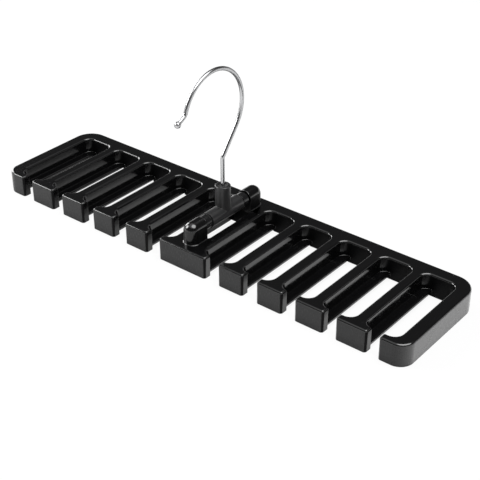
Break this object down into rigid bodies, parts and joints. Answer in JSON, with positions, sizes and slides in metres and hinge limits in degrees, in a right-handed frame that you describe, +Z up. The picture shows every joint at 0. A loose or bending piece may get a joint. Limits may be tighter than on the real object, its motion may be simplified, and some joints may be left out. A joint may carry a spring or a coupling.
{
  "type": "tie hanger",
  "caption": "Comb-shaped tie hanger bar with a row of open slots for ties and a wire hook on a tee that folds down and swivels.",
  "frame": {"origin": "under the middle of the bar, on the plane that it lies on", "axes": "+X along the bar, -Y towards the open ends of the slots, +Z up, towards the hook"},
  "size_m": [0.3, 0.0771, 0.114],
  "materials": {
    "bar": "gloss black",
    "axle": "gloss dark grey",
    "tee": "satin dark grey",
    "bush": "satin grey",
    "wire": "bright chrome"
  },
  "bodies": {
    "bar": {"comb_bar": "bar"},
    "tee": {"tee": "tee", "hinge_axle": "axle", "stem_bush": "bush"},
    "hook": {"hook": "wire"}
  },
  "joints": [
    {"name": "hook_fold", "type": "hinge", "parent": "bar", "child": "tee", "pos_m": [0, 0, 0.0215], "axis": [0, 1, 0], "range_deg": [-90, 90]},
    {"name": "hook_swivel", "type": "hinge", "parent": "tee", "child": "hook", "pos_m": [0, 0, 0.0316], "axis": [0, 0, 1], "range_deg": [-180, 180]}
  ]
}
